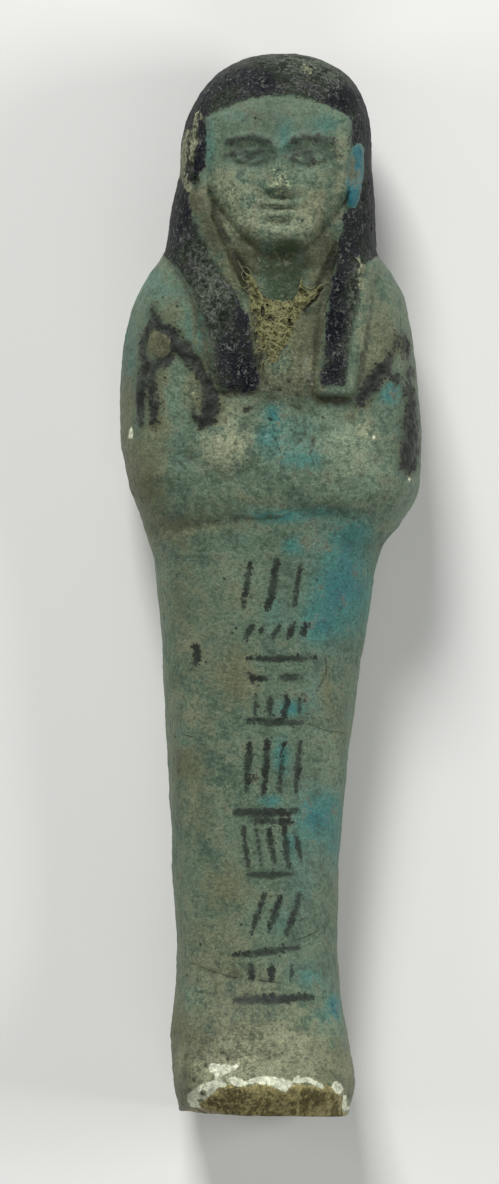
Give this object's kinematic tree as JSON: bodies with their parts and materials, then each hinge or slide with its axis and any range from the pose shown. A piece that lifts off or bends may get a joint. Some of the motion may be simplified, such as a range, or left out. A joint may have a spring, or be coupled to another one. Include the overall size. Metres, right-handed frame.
{
  "type": "ushabti figurine",
  "caption": "Mummiform tomb figurine of moulded glazed faience with a long wig, folded arms and projecting feet, lying on its flat back.",
  "frame": {"origin": "under the middle of the figurine's box, on the plane that the back rests on", "axes": "+Y from the sole to the crown, +Z out of the figure's front, +X to the figure's left"},
  "size_m": [0.0342, 0.12, 0.0236],
  "materials": {
    "faience": "worn satin glaze, matt where stained"
  },
  "bodies": {
    "root": {"figurine": "faience"}
  },
  "joints": []
}
